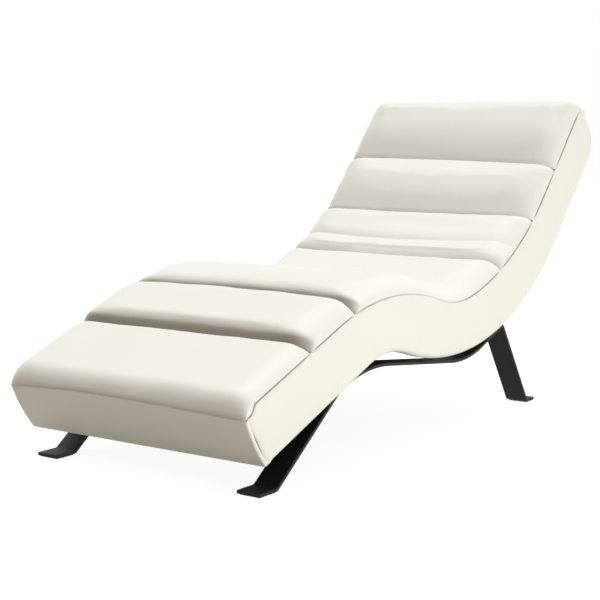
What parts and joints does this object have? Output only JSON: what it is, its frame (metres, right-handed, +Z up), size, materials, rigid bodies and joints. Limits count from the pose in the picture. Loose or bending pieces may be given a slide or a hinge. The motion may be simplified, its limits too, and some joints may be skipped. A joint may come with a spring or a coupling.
{
  "type": "relax lounger",
  "caption": "Fixed S-shaped padded lounger in cream leather with sewn cross channels, standing on two bent black flat-steel runners with foot plates.",
  "frame": {"origin": "on the floor, below the middle of the overall length and width", "axes": "+Z up, +Y from the foot end to the head end, +X to the sitter's left; X = 0 is the plane of symmetry"},
  "size_m": [0.696, 1.7014, 0.8518],
  "materials": {
    "cream_leather": "smooth cream leather, low sheen",
    "black_steel": "matt black powder coat",
    "plywood": "raw birch plywood",
    "foam": "cut polyurethane foam",
    "webbing": "woven elastic webbing",
    "dust_cloth": "black spunbond cloth",
    "zinc_steel": "zinc plated",
    "black_plastic": "moulded black"
  },
  "bodies": {
    "root": {"foot_pad": "cream_leather", "calf_pad": "cream_leather", "seat_pad": "cream_leather", "lumbar_pad": "cream_leather", "back_pad": "cream_leather", "head_pad": "cream_leather", "side_cover_left": "cream_leather", "side_cover_right": "cream_leather", "foot_end_cover": "cream_leather", "back_cover": "cream_leather", "head_end_cover": "cream_leather", "runner_left": "black_steel", "runner_right": "black_steel", "side_rail_left": "plywood", "side_rail_right": "plywood", "foot_cross_rail": "plywood", "knee_cross_rail": "plywood", "seat_cross_rail": "plywood", "lumbar_cross_rail": "plywood", "head_cross_rail": "plywood", "leg_bolt_board": "plywood", "lumbar_bolt_board": "plywood", "foam_core": "foam", "side_foam_left": "foam", "side_foam_right": "foam", "webbing_straps": "webbing", "dust_cover": "dust_cloth", "runner_bolts": "zinc_steel", "bolt_nuts": "zinc_steel", "runner_spacer_left": "black_plastic", "runner_spacer_right": "black_plastic", "glide_front_left": "black_plastic", "glide_front_right": "black_plastic", "glide_rear_left": "black_plastic", "glide_rear_right": "black_plastic"}
  },
  "joints": []
}
